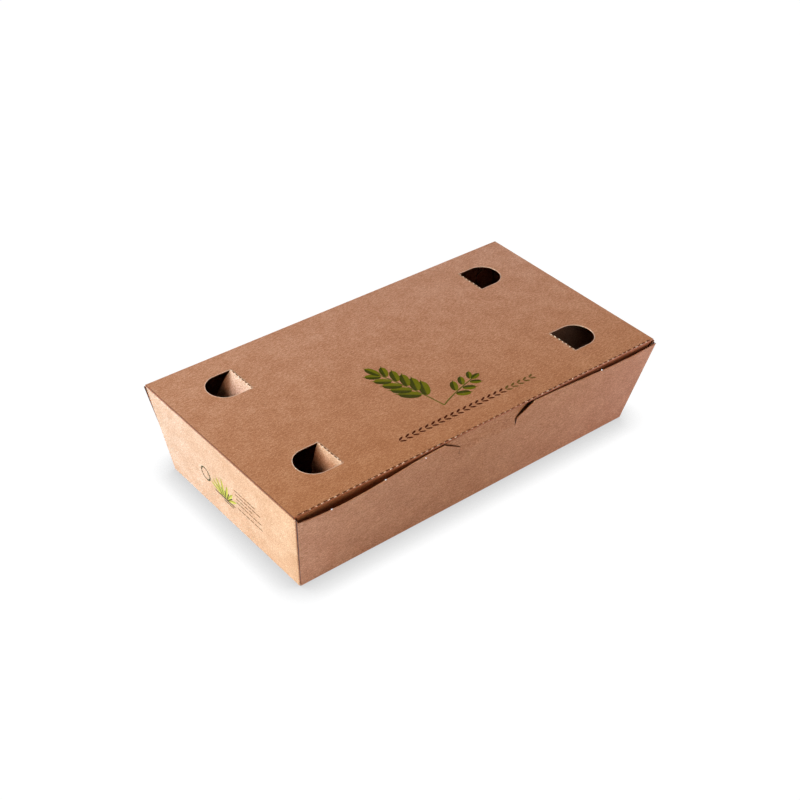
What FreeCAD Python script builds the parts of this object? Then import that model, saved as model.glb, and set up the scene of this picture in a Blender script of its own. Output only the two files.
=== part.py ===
"""Hinged takeaway food box, folded and glued from one sheet of kraft board.

The blank is a cross.  One strip folds into the front wall, base, back wall
and lid; the other into the two end walls, whose glue tabs turn in behind the
front and back walls.  Millimetres, +Z up, X along the length, front at -Y.
The origin is the middle of the base's underside.
"""
import FreeCAD, Part
import math
import os
import Sketcher
from FreeCAD import Placement, Rotation, Vector

SIZES = [
    ("board", 0.6, "thickness of the kraft board, and outside radius of a crease"),
    ("height", 58.0, "base's underside to the lid's top"),
    ("length_base", 242.0, "over the end walls, at the base"),
    ("length_rim", 261.0, "the same at the rim"),
    ("width_base", 120.6, "over the front and back walls, at the base"),
    ("width_rim", 139.0, "the same at the rim"),
    ("lid_seat", 0.2, "gap between the end walls' top edges and the lid"),
    ("lid_inset", 0.2, "lid's ends in from the end walls' outer faces"),
    ("slip", 0.3, "running gap beside anything that moves"),
    ("corner_gap", 0.7, "front or back wall's cut edge to the end wall's face"),
    ("corner_spring", 0.5, "how far the front wall's corners stand out at the rim"),
    ("corner_out", 0.7, "how far the back and right front top corners stand past the ends"),
    ("corner_fall", 34.0, "rim down to where the back wall's corners come back in line"),
    ("corner_return", 2.5, "stretch of a corner fold that stays flat"),
    ("tab_width", 15.0, "glue tab's reach along its wall"),
    ("tab_shoulder", 6.4, "steep fall of a glue tab's upper edge beside its fold"),
    ("tab_drop", 17.0, "fall of that edge altogether"),
    ("tab_rise", 5.0, "rise of a glue tab's lower edge"),
    ("stub", 5.0, "height at which the front wall starts to spring outwards"),
    ("spring_left", 3.0, "how far it springs, left of the tongue"),
    ("spring_right", 1.7, "the same, right of the tongue"),
    ("shoulder_drop", 0.5, "lid's top to the front wall's edge beside the tongue"),
    ("corner_drop_left", 3.3, "the same at the wall's left corner"),
    ("corner_drop_right", 2.3, "and at its right corner"),
    ("tongue_neck", 41.0, "tongue's width at its root"),
    ("tongue_head", 64.0, "tongue's width across the ears, at the rim"),
    ("tongue_length", 13.5, "lid's top down to the tongue's root"),
    ("tongue_ear", 7.8, "lid's top down to where its ears start"),
    ("tongue_lean_left", 1.3, "how far its left ear leans in from the wall"),
    ("tongue_lean_right", 2.7, "the same for its right ear"),
    ("tongue_slit", 0.35, "width of the cut round it"),
    ("tuck_gap", 0.9, "front wall's inner face to the tuck flap's crease"),
    ("tuck_depth", 24.0, "tuck flap, from crease to free edge"),
    ("tuck_tilt", 16.0, "tuck flap's lean from upright, in degrees"),
    ("tuck_inset", 1.6, "lid's end to the tuck flap's end, at the crease"),
    ("tuck_taper", 8.0, "how much further in its free edge ends"),
    ("lock_slack", 2.5, "tongue's ears to the ends of its window in the tuck flap"),
    ("lock_sill", 1.2, "tongue's root up to the window's lower edge"),
    ("lock_corner", 3.0, "radius of the window's lower corners"),
    ("perforation", 2.5, "length of one cut along the lid's front crease"),
    ("perforation_width", 0.45, "width of that cut"),
    ("perforation_pitch", 4.0, "cut to cut"),
    ("vent_fold", 85.2, "middle of the box to a vent flap's fold"),
    ("vent_width", 21.8, "length of that fold"),
    ("vent_reach", 21.8, "fold to the far end of the vent"),
    ("vent_back", 42.8, "middle of the box to the back vents"),
    ("vent_front", 38.0, "middle of the box to the front vents"),
    ("bend_left_back", 52.0, "how far this vent flap is pushed down, in degrees"),
    ("bend_left_front", 74.0, "the same for the next one"),
    ("bend_right_back", 68.0, "and the next"),
    ("bend_right_front", 72.0, "and the last"),
]

doc = FreeCAD.newDocument("food_box")
sheet = doc.addObject("Spreadsheet::Sheet", "Sizes")
for row, (name, value, note) in enumerate(SIZES, start=1):
    sheet.set(f"A{row}", name)
    sheet.set(f"B{row}", str(value))
    sheet.set(f"C{row}", note)
    sheet.setAlias(f"B{row}", name)
doc.recompute()

# Expressions worked out from the sizes.  The walls lean outwards, so a cut
# straight across one is thicker than the board.
UNDER_LID = "(Sizes.height - Sizes.board)"
RIM = "(Sizes.height - Sizes.board - Sizes.lid_seat)"
SLOPE_X = f"((Sizes.length_rim - Sizes.length_base) / 2 / {RIM})"
SLOPE_Y = f"((Sizes.width_rim - Sizes.width_base) / 2 / {RIM})"
THROUGH_X = f"(Sizes.board / cos(atan({SLOPE_X})))"
THROUGH_Y = f"(Sizes.board / cos(atan({SLOPE_Y})))"
HINGE_Y = "(Sizes.width_rim / 2 - Sizes.board / 2)"
HINGE_Z = "(Sizes.height - Sizes.board / 2)"


def half_length(level):
    """Middle of the box to an end wall's outer face, at a level."""
    return f"(Sizes.length_base / 2 + {SLOPE_X} * ({level}))"


def half_width(level):
    """Middle of the box to the back wall's outer face, at a level."""
    return f"(Sizes.width_base / 2 + {SLOPE_Y} * ({level}))"


def cut_edge(level):
    """Middle of the box to the side edge of the front or back wall."""
    return f"({half_length(level)} - Sizes.corner_gap)"


def number(expression):
    """What an expression comes to."""
    result = sheet.evalExpression(expression)
    return float(getattr(result, "Value", result))


def size(name):
    """A driving dimension as a number."""
    return float(sheet.get(name))


# Sketches and features

def add_body(name):
    body = doc.addObject("PartDesign::Body", name)
    body.Label = name
    return body


def add_sketch(body, role, name, lift=None):
    """A sketch on one of the body's own origin planes, lifted along its normal."""
    sketch = body.newObject("Sketcher::SketchObject", name)
    plane = next(f for f in body.Origin.OriginFeatures if f.Role == role)
    sketch.AttachmentSupport = [(plane, "")]
    sketch.MapMode = "FlatFace"
    if lift:
        sketch.setExpression(".AttachmentOffset.Base.z", lift)
    return sketch


def pin(sketch, edge, end, axis, expression):
    """Hold one coordinate of an edge's end, or of an arc's centre, at a size."""
    index = sketch.addConstraint(Sketcher.Constraint(
        f"Distance{axis}", -1, 1, edge, end, number(expression)))
    sketch.renameConstraint(index, f"at{index}")
    sketch.setExpression(f"Constraints.at{index}", expression)


def arc_between(start, stop, centre):
    """An anticlockwise arc; a sketch stores them all that way round."""
    radius = start.distanceToPoint(centre)
    angles = [math.atan2(p.y - centre.y, p.x - centre.x) for p in (start, stop)]
    circle = Part.Circle(centre, Vector(0, 0, 1), radius)
    return Part.ArcOfCircle(circle, angles[0], angles[1])


def outline(sketch, steps):
    """A closed outline through corners (x, y), each a pair of expressions.

    A step (x, y, turn) between two corners makes that edge an arc about
    (x, y): anticlockwise when turn is 1, clockwise when it is -1.
    """
    edges = []
    for here, step in enumerate(steps):
        if len(step) == 3:
            continue
        ahead = steps[(here + 1) % len(steps)]
        bend = ahead if len(ahead) == 3 else None
        target = steps[(here + 2) % len(steps)] if bend else ahead
        start, stop = (Vector(number(p[0]), number(p[1]), 0) for p in (step, target))
        turn = bend[2] if bend else 1
        if bend:
            centre = Vector(number(bend[0]), number(bend[1]), 0)
            ends = (start, stop) if turn > 0 else (stop, start)
            edge = sketch.addGeometry(arc_between(*ends, centre))
            pin(sketch, edge, 3, "X", bend[0])
        else:
            edge = sketch.addGeometry(Part.LineSegment(start, stop))
        first, last = (1, 2) if turn > 0 else (2, 1)
        pin(sketch, edge, first, "X", step[0])
        pin(sketch, edge, first, "Y", step[1])
        edges.append((edge, first, last))
    for (edge, _, last), (after, first, _) in zip(edges, edges[1:] + edges[:1]):
        sketch.addConstraint(Sketcher.Constraint("Coincident", edge, last, after, first))


def mirrored(corners):
    """The same outline on the other side of the middle."""
    return [(f"-({x})", z) for x, z in reversed(corners)]


def rectangle(half_x, half_y):
    return [(f"-({half_x})", f"-({half_y})"), (half_x, f"-({half_y})"),
            (half_x, half_y), (f"-({half_x})", half_y)]


def add_pad(body, sketch, name, length):
    """Extrude a sketch by half the length each way."""
    pad = body.newObject("PartDesign::Pad", name)
    pad.Profile = sketch
    pad.SideType = "Symmetric"
    pad.setExpression("Length", length)
    return pad


def add_pocket(body, sketch, name, side):
    """Cut through everything on one side of the sketch's plane, or on both."""
    before = body.Shape.Volume
    pocket = body.newObject("PartDesign::Pocket", name)
    pocket.Profile = sketch
    pocket.Type = "ThroughAll"
    pocket.Reversed = side == "front"
    if side == "both":
        pocket.SideType = "Symmetric"
    doc.recompute()
    if not pocket.Shape.Volume < before - 1e-6:
        raise ValueError(f"{name} cuts nothing")
    return pocket


def add_loft(body, kind, sketches, name):
    loft = body.newObject(f"PartDesign::{kind}Loft", name)
    loft.Profile = sketches[0]
    loft.Sections = sketches[1:]
    loft.Ruled = True
    doc.recompute()
    return loft


def pick_edges(shape, wanted):
    """Names of the edges for which wanted(midpoint, direction) holds."""
    names = []
    for index, edge in enumerate(shape.Edges, start=1):
        first, last = edge.Vertexes[0].Point, edge.Vertexes[-1].Point
        if wanted((first + last) / 2, last - first):
            names.append(f"Edge{index}")
    return names


# The tray's folded strips

def build_lengthways():
    """Base, back wall and the foot of the front wall, folded from one strip."""
    body = add_body("lengthways_strip")
    inner = f"({half_width('Sizes.board')} - {THROUGH_Y})"
    out_y = f"({inner} + Sizes.board * cos(atan({SLOPE_Y})))"
    out_z = f"(Sizes.board - Sizes.board * sin(atan({SLOPE_Y})))"
    top = f"({HINGE_Z} - Sizes.board / 2 - Sizes.slip)"
    profile = add_sketch(body, "YZ_Plane", "strip_profile")
    outline(profile, [
        (f"-{inner}", "0"), (inner, "0"),
        (inner, "Sizes.board", 1), (out_y, out_z),
        (half_width(top), top), (f"{half_width(top)} - {THROUGH_Y}", top),
        (inner, "Sizes.board"), (f"-{inner}", "Sizes.board"),
        (f"-({half_width('Sizes.stub')} - {THROUGH_Y})", "Sizes.stub"),
        (f"-{half_width('Sizes.stub')}", "Sizes.stub"),
        (f"-{out_y}", out_z), (f"-{inner}", "Sizes.board", 1)])
    add_pad(body, profile, "strip", "Sizes.length_rim + 10")
    doc.recompute()
    trim = [(cut_edge("0"), "-1"), ("Sizes.length_rim", "-1"),
            ("Sizes.length_rim", "Sizes.height"), (cut_edge(RIM), "Sizes.height"),
            (cut_edge(RIM), RIM), (cut_edge("0"), "0")]
    sides = add_sketch(body, "XZ_Plane", "front_side_edges")
    outline(sides, trim)
    outline(sides, mirrored(trim))
    add_pocket(body, sides, "trimmed_front_sides", "front")
    corner = f"({half_length(RIM)} + Sizes.corner_out)"
    fall = f"({RIM} - Sizes.corner_fall)"
    trim[3:5] = [(corner, "Sizes.height"), (corner, RIM), (cut_edge(fall), fall)]
    sides = add_sketch(body, "XZ_Plane", "back_side_edges")
    outline(sides, trim)
    outline(sides, mirrored(trim))
    add_pocket(body, sides, "trimmed_back_sides", "back")
    return body


def tab_gap():
    """What is cut from between two glue tabs, right-hand half, bottom to top."""
    fold, tip = "Sizes.corner_return", "Sizes.tab_width"
    low, high = "(Sizes.board + Sizes.tab_rise)", f"({RIM} - Sizes.tab_drop)"
    shoulder = f"({RIM} - Sizes.tab_shoulder)"
    return [(f"{half_length('Sizes.board')} - {fold}", "Sizes.board"),
            (f"{half_length(low)} - {tip}", low),
            (f"{half_length(high)} - {tip}", high),
            (f"{half_length(shoulder)} - {fold}", shoulder),
            (f"{half_length(RIM)} - {THROUGH_X}", RIM),
            (f"{half_length(RIM)} - {THROUGH_X}", "Sizes.height")]


def build_crossways():
    """End walls with rounded corner folds and the tabs glued to the back wall."""
    body = add_body("crossways_strip")

    side = add_sketch(body, "XZ_Plane", "end_slopes")
    outline(side, [(f"-{half_length('0')}", "0"), (half_length("0"), "0"),
                   (half_length(RIM), RIM), (f"-{half_length(RIM)}", RIM)])
    add_pad(body, side, "wedge", "Sizes.width_rim + 10")
    doc.recompute()
    tuck_in = f"({half_width(RIM)} - {THROUGH_Y})"
    trim = [(f"{half_width('0')} - {THROUGH_Y}", "0"), ("Sizes.width_rim", "0"),
            ("Sizes.width_rim", RIM), (tuck_in, RIM)]
    slopes = add_sketch(body, "YZ_Plane", "fold_lines")
    outline(slopes, trim)
    outline(slopes, mirrored(trim))
    block = add_pocket(body, slopes, "tapered_block", "both")
    folds = body.newObject("PartDesign::Fillet", "rounded_folds")
    folds.Base = (block, pick_edges(block.Shape, lambda middle, way: (
        abs(way.z) > 1 or (middle.z < 0.01 and abs(way.y) > 1))))
    folds.setExpression("Radius", "Sizes.board * 0.99")
    doc.recompute()

    def ring(name, level):
        sketch = add_sketch(body, "XY_Plane", name, level)
        outline(sketch, rectangle(f"({half_length(level)} - {THROUGH_X})",
                                  f"({half_width(level)} - 2 * {THROUGH_Y})"))
        return sketch

    add_loft(body, "Subtractive", [ring("foot_inside", "Sizes.board"),
                                   ring("rim_inside", "Sizes.height")], "hollow")
    front = add_sketch(body, "XZ_Plane", "open_front")
    half = [tab_gap()[0]] + tab_gap()[3:]
    outline(front, half + mirrored(half))
    add_pocket(body, front, "front_opened", "front")
    back = add_sketch(body, "XZ_Plane", "back_tabs")
    outline(back, tab_gap() + mirrored(tab_gap()))
    add_pocket(body, back, "tabs_cut", "back")
    return body


# The front wall, sprung outwards between its corners and its tongue

def spring_curve(corner, held, y, reach, out):
    """A wall's line in plan: out at the corner, it swells and comes back flat."""
    xs = [corner + (held - corner) * k / 3 for k in range(4)]
    ys = [y - out, y - out * 2 / 3 - 2.25 * reach, y, y]
    poles = [Vector(px, py, 0) for px, py in zip(xs, ys)]
    curve = Part.BezierCurve()
    curve.setPoles(poles if corner < held else poles[::-1])
    return curve.toShape()


def wall_section(level, share, near, far, flare):
    """The front wall cut level, from depth near to depth far behind its face."""
    left = -number(cut_edge(str(level)))
    right = -left + share * flare
    held = size("tongue_head") / 2 + size("corner_return")
    front = -number(half_width(str(level)))

    out = share * size("corner_spring")

    def run(depth):
        y = front + depth
        return [spring_curve(left, -held, y, share * size("spring_left"), out),
                Part.LineSegment(Vector(-held, y, 0), Vector(held, y, 0)).toShape(),
                spring_curve(right, held, y, share * size("spring_right"), out)]

    sides = [Part.LineSegment(Vector(end, front + near - out, 0),
                              Vector(end, front + far - out, 0)).toShape()
             for end in (left, right)]
    wire = Part.Wire(Part.__sortEdges__(run(near) + run(far) + sides))
    wire.translate(Vector(0, 0, level))
    return wire


def sprung_sheet(near, far, flare=0):
    """The layer of the front wall between two depths, above its flat foot."""
    top = size("height") - size("shoulder_drop")
    return Part.makeLoft([wall_section(size("stub"), 0, near, far, flare),
                          wall_section(top, 1, near, far, flare)], True, True)


def prism(points):
    """A polygon of the front view, carried through the whole depth."""
    corners = [Vector(px, -size("width_rim"), pz) for px, pz in points]
    face = Part.Face(Part.makePolygon(corners + corners[:1]))
    return face.extrude(Vector(0, 2 * size("width_rim"), 0))


def both_sides(half):
    """A right-hand half outline, bottom to top, closed by its mirror image."""
    return half + [(-px, pz) for px, pz in reversed(half)]


def tongue_outline(slit, top):
    """The dovetail, grown by the slit round it."""
    neck, head = size("tongue_neck") / 2 + slit, size("tongue_head") / 2 + 2 * slit
    root = size("height") - size("tongue_length")
    ear, level = size("height") - size("tongue_ear") - slit, number(RIM)
    return both_sides([(neck, root), (neck, ear), (head, level), (head, top)])


def build_tongue():
    """The dovetail tongue, curving in towards the window in the tuck flap."""
    root = size("height") - size("tongue_length")
    top = number(UNDER_LID) - size("slip")
    half = size("tongue_head") / 2

    def section(x, lean):
        """The tongue cut upright at x."""
        curves = []
        for depth in (0, number(THROUGH_Y)):
            poles = []
            for step, share in enumerate((0, 0, 1, 1)):
                level = root + (top - root) * step / 3
                y = -number(half_width(str(level))) + depth + share * lean
                poles.append(Vector(x, y, level))
            curve = Part.BezierCurve()
            curve.setPoles(poles)
            curves.append(curve)
        ends = [Part.LineSegment(curves[0].getPole(k), curves[1].getPole(k)).toShape()
                for k in (1, 4)]
        return Part.Wire(Part.__sortEdges__([c.toShape() for c in curves] + ends))

    plate = Part.makeLoft([section(-half, size("tongue_lean_left")),
                           section(half, size("tongue_lean_right"))], True, True)
    return plate.common(prism(tongue_outline(0, size("height"))))


def build_front_wall():
    """The sprung wall, its tongue and the two tabs glued behind its ends."""
    through, high = number(THROUGH_Y), size("height") + 1
    wall = sprung_sheet(0, through, size("corner_gap") + size("corner_out"))
    shoulder = size("tongue_head") / 2
    edge = size("height") - size("shoulder_drop")
    far = size("length_rim") / 2
    for side, name in ((-1, "left"), (1, "right")):
        corner = size("height") - size(f"corner_drop_{name}")
        past = side * (far + 2 * size("corner_out"))
        wall = wall.cut(prism([(side * shoulder, edge), (side * far, corner), (past, corner),
                               (past, high), (side * shoulder, high)]))
    wall = wall.cut(prism(tongue_outline(size("tongue_slit"), high)))
    tabs = sprung_sheet(through / 2, 2 * through)
    gap = [(number(x), number(z)) for x, z in tab_gap()]
    tabs = tabs.cut(prism(both_sides(gap)))
    tabs = tabs.cut(prism(both_sides([(far, number(RIM)), (far, high)])))
    return wall.fuse([tabs, build_tongue()]).removeSplitter()


def build_tray():
    strips = [build_lengthways(), build_crossways()]
    front = doc.addObject("Part::Feature", "front_wall")
    front.Shape = build_front_wall()
    tray = doc.addObject("Part::MultiFuse", "tray")
    tray.Label = "tray"
    tray.Shapes = strips + [front]
    tray.Refine = False
    return tray


# The lid and its vents

def vent_outline(side, row, fold, half, middle):
    """A vent: a straight fold, two short sides and a round far end."""
    near, far = f"({side} * ({fold}))", f"({side} * ({middle}))"
    low, high = f"({row} - {side} * ({half}))", f"({row} + {side} * ({half}))"
    return [(near, low), (far, low), (far, row, 1), (far, high), (near, high)]


def build_lid():
    """Lid panel and tuck flap, with the crease's bead along the hinge line."""
    body = add_body("lid")
    crease = f"(-(Sizes.width_rim / 2 - {THROUGH_Y} - Sizes.tuck_gap) + Sizes.board)"
    along_y, along_z = "sin(Sizes.tuck_tilt)", "cos(Sizes.tuck_tilt)"
    out_y = f"({crease} - Sizes.board * {along_z})"
    out_z = f"({UNDER_LID} - Sizes.board * {along_y})"
    drop = "(Sizes.tuck_depth)"
    profile = add_sketch(body, "YZ_Plane", "lid_profile")
    outline(profile, [
        (HINGE_Y, "Sizes.height"), (crease, "Sizes.height"),
        (crease, UNDER_LID, 1), (out_y, out_z),
        (f"{out_y} + {drop} * {along_y}", f"{out_z} - {drop} * {along_z}"),
        (f"{crease} + {drop} * {along_y}", f"{UNDER_LID} - {drop} * {along_z}"),
        (crease, UNDER_LID), (HINGE_Y, UNDER_LID), (HINGE_Y, HINGE_Z, 1)])
    add_pad(body, profile, "folded_lid", "Sizes.length_rim - 2 * Sizes.lid_inset")
    doc.recompute()

    end = "(Sizes.length_rim / 2 - Sizes.lid_inset)"
    start = f"({end} - Sizes.tuck_inset)"
    foot = "(Sizes.height - Sizes.tuck_depth - Sizes.board)"
    relief = [(f"{start} - Sizes.tuck_taper", foot), (f"{end} + 5", foot),
              (f"{end} + 5", UNDER_LID), (start, UNDER_LID)]
    reliefs = add_sketch(body, "XZ_Plane", "tuck_ends")
    outline(reliefs, relief)
    outline(reliefs, mirrored(relief))
    add_pocket(body, reliefs, "tuck_relieved", "front")

    side = "(Sizes.tongue_head / 2 + Sizes.lock_slack)"
    low = "(Sizes.height - Sizes.tongue_length + Sizes.lock_sill)"
    turn = "Sizes.lock_corner"
    window = add_sketch(body, "XZ_Plane", "lock_window")
    outline(window, [
        (f"-{side}", UNDER_LID), (f"-{side}", f"{low} + {turn}"),
        (f"-{side} + {turn}", f"{low} + {turn}", 1), (f"-{side} + {turn}", low),
        (f"{side} - {turn}", low), (f"{side} - {turn}", f"{low} + {turn}", 1),
        (side, f"{low} + {turn}"), (side, UNDER_LID)])
    add_pocket(body, window, "window_cut", "front")

    cut = add_sketch(body, "XY_Plane", "first_perforation", "Sizes.height")
    reach = f"({end} - Sizes.perforation_pitch)"
    near = f"({crease} + Sizes.perforation_width / 4)"
    outline(cut, [(f"-{reach} - Sizes.perforation / 2", near),
                  (f"-{reach} + Sizes.perforation / 2", near),
                  (f"-{reach} + Sizes.perforation / 2", f"{near} + Sizes.perforation_width"),
                  (f"-{reach} - Sizes.perforation / 2", f"{near} + Sizes.perforation_width")])
    slot = body.newObject("PartDesign::Pocket", "perforation")
    slot.Profile = cut
    slot.setExpression("Length", "Sizes.board * 1.1")
    doc.recompute()
    row = body.newObject("PartDesign::LinearPattern", "perforated_crease")
    row.Originals = [slot]
    row.Direction = (cut, ["H_Axis"])
    row.setExpression("Length", f"2 * {reach}")
    row.setExpression("Occurrences", f"floor(2 * {reach} / Sizes.perforation_pitch) + 1")
    body.Tip = row
    doc.recompute()

    vents = add_sketch(body, "XY_Plane", "vent_holes")
    for side in (-1, 1):
        for row in ("Sizes.vent_back", "-Sizes.vent_front"):
            outline(vents, vent_outline(
                side, row, "Sizes.vent_fold - Sizes.board / 2 - Sizes.slip",
                "Sizes.vent_width / 2",
                "Sizes.vent_fold + Sizes.vent_reach - Sizes.vent_width / 2"))
    add_pocket(body, vents, "vents_cut", "both")
    return body


def build_vent_flap(side, end):
    """One vent's flap, hanging from a bead on its fold."""
    name = f"{'left' if side < 0 else 'right'}_{end}"
    body = add_body(f"vent_flap_{name}")
    half = "(Sizes.vent_width / 2 - Sizes.slip)"
    face = add_sketch(body, "XY_Plane", f"flap_outline_{name}")
    outline(face, vent_outline(side, "0", "0", half,
                               "Sizes.vent_reach - Sizes.vent_width / 2"))
    add_pad(body, face, f"flap_{name}", "Sizes.board")
    bead = add_sketch(body, "XZ_Plane", f"bead_section_{name}")
    circle = bead.addGeometry(Part.Circle(Vector(), Vector(0, 0, 1), size("board") / 2))
    bead.addConstraint(Sketcher.Constraint("Coincident", circle, 3, -1, 1))
    bead.addConstraint(Sketcher.Constraint("Radius", circle, size("board") / 2))
    bead.renameConstraint(1, "bead_radius")
    bead.setExpression("Constraints.bead_radius", "Sizes.board / 2")
    add_pad(body, bead, f"bead_{name}", f"2 * {half}")
    body.Placement = Placement(Vector(), Rotation(Vector(0, side, 0), 45))
    body.setExpression(".Placement.Base.x", f"{side} * Sizes.vent_fold")
    body.setExpression(".Placement.Base.y",
                       "Sizes.vent_back" if end == "back" else "-Sizes.vent_front")
    body.setExpression(".Placement.Base.z", HINGE_Z)
    body.setExpression(".Placement.Rotation.Angle", f"Sizes.bend_{name}")
    return body


def write_parts(parts):
    """Check every object of the document, then write each sub-part."""
    doc.recompute()
    for item in doc.Objects:
        if {"Invalid", "Error"} & set(item.State):
            raise ValueError(f"{item.Name} did not build: {item.State}")
    os.makedirs("parts", exist_ok=True)
    for part in parts:
        shape = part.Shape
        if shape.isNull() or not shape.isValid() or len(shape.Solids) != 1:
            raise ValueError(f"{part.Label} is not one sound solid")
        shape.exportStep(os.path.join("parts", f"{part.Label}.step"))
        print(f"{part.Label}: {shape.Volume:.0f} mm3")


tray = build_tray()
lid = build_lid()
flaps = [build_vent_flap(side, end) for side in (-1, 1) for end in ("back", "front")]
write_parts([tray, lid] + flaps)
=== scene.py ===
import bpy
import math
import random
from mathutils import Matrix, Vector


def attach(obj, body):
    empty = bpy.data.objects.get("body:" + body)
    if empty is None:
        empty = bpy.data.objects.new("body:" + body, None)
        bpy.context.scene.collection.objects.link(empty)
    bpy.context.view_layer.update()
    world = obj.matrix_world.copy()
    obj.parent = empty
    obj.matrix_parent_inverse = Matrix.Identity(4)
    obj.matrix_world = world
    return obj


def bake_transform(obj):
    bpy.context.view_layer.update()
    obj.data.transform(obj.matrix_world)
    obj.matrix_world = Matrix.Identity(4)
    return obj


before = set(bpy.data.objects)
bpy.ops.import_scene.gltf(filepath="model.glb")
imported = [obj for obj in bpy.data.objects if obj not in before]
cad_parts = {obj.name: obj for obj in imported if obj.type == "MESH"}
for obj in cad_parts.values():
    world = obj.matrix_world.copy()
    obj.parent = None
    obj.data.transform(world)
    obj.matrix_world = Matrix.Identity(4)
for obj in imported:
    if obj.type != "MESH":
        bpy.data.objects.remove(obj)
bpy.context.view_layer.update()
mm = 0.001
print("frame loaded")


def linearColour(hexCode):
    parts = [int(hexCode[i:i + 2], 16) / 255 for i in (1, 3, 5)]
    return [p / 12.92 if p <= 0.04045 else ((p + 0.055) / 1.055) ** 2.4 for p in parts] + [1.0]


def addNode(tree, kind, values=None, links=None, stops=None, **settings):
    node = tree.nodes.new(kind)
    for name, value in settings.items():
        setattr(node, name, value)
    for key, value in (values or {}).items():
        node.inputs[key].default_value = value
    for key, source in (links or {}).items():
        tree.links.new(source, node.inputs[key])
    for i, (position, colour) in enumerate(stops or []):
        points = node.color_ramp.elements
        point = points[i] if i < 2 else points.new(1.0)
        point.position, point.color = position, colour
    return node


def newTree(owner):
    owner.use_nodes = True
    owner.node_tree.nodes.clear()
    return owner.node_tree


# Kraft board: unbleached pulp, pressed and left uncoated, so it is matt and mottled,
# with long fibres that lie along the box and a few dark specks of bark
board = {
    "light": "#e0ad8b",
    "face": "#c0835b",
    "dark": "#a06337",
    "toneStops": (0.36, 0.50, 0.64),
    "speck": "#7d5236",
    "cut": "#e0b590",
    "torn": "#eac39c",
    "nick": "#fff2e6",
    # painted shadow for the perforations' cuts
    "slot": "#40180a",
    "roughness": 0.55,
    "edgeRoughness": 0.8,
    "ior": 1.47,
    "gloss": 0.5,
    "cloudMm": 11.0,    # thicker and thinner patches of pulp
    "fibreMm": (2.0, 0.85, 0.85),
    "grainMm": 0.5,    # the real grain is finer; this is as fine as shows
    "speckMm": 5.0,
    "speckEdge": (0.06, 0.03),    # share of a cell that a chip covers, from its rim to its full tone
    "speckCover": 0.6,
    "grainShare": 0.58,
    "cloudShare": 0.15,
    "cutStops": (0.2, 0.45),    # where cut pulp's tone turns from the face's light tone to its own
    "facesLeft": -0.7,    # a normal's X below this is a face that looks left
    "bump": 0.35,
    "bumpMm": 0.1,
}

# The board's tone changes across a sheet, partly the pulp's own tone and partly painted light and shade:
# factors on red, green and blue, by place in mm, "across" from left to right and "along" from front to back.
# "ends" takes the place of
# "across" on faces that look left: the left wall outside and the right one inside. Painted sheen and
# highlight make the lid paler and bluer towards the back and right, the tray towards its left end, and the
# flaps paler than the lid;
# painted shade darkens the lid's front crease strip and the inside of the right end wall
plain = (1.0, 1.0, 1.0)
toneAndPaintedLight = {
    "lid": {"across": [(-130, (0.984, 0.984, 0.936)), (0, plain), (130, (1.095, 1.14, 1.24))],
            # painted shade in the strip at the front crease; painted sheen makes the lid paler towards the
            # back
            "along": [(-68.2, (0.98, 0.62, 0.36)), (-67.85, (0.62, 0.42, 0.30)), (-67.5, (0.80, 0.62, 0.42)),
                      (-67.3, (0.851, 0.715, 0.484)), (70, (0.976, 0.960, 0.944))],
            "ends": [(-130, plain), (130, plain)]},
    # painted highlight: paler and bluer towards the left end, and darker in the middle
    "tray": {"across": [(-130, (1.08, 1.20, 1.58)), (-90, (0.99, 1.04, 1.13)), (0, (0.94, 0.965, 0.92)),
                        (70, (1.02, 1.10, 1.23)), (130, (1.02, 1.06, 1.28))],
             "along": [(-70, (0.930, 0.799, 0.597)), (70, (0.930, 0.921, 0.913))],
             # painted shade: the inside of the right end wall is half as light
             "ends": [(-130, (0.92, 1.09, 1.27)), (-110, (0.92, 1.09, 1.27)), (110, (0.5, 0.5, 0.5)),
                      (130, (0.5, 0.5, 0.5))]},
    # painted highlight: the flaps paler than the lid
    "flap": {"across": [(-130, plain), (130, plain)],
             "along": [(-70, (0.90, 0.95, 0.87)), (70, (0.90, 1.04, 1.06))],
             "ends": [(-130, plain), (130, plain)]},
}
# Painted shade along the lid's left edge, for the dark line of shadow there; places in mm
lidEdge = {"from": -129.8, "to": -130.0, "shade": "#a8907c"}
# The front and back walls stand out past the left wall, and there the corner's shade is painted on them:
# beyond the left wall's plane, whose way out is given, and from cutFrom on up the slope of their edges
wallCorner = {"outward": (-0.98649, 0.0, -0.16376), "beyond": 119.46, "outside": 0.03, "shade": "#5f3f28",
              "slope": -0.16, "cutFrom": 59.75}


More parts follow.
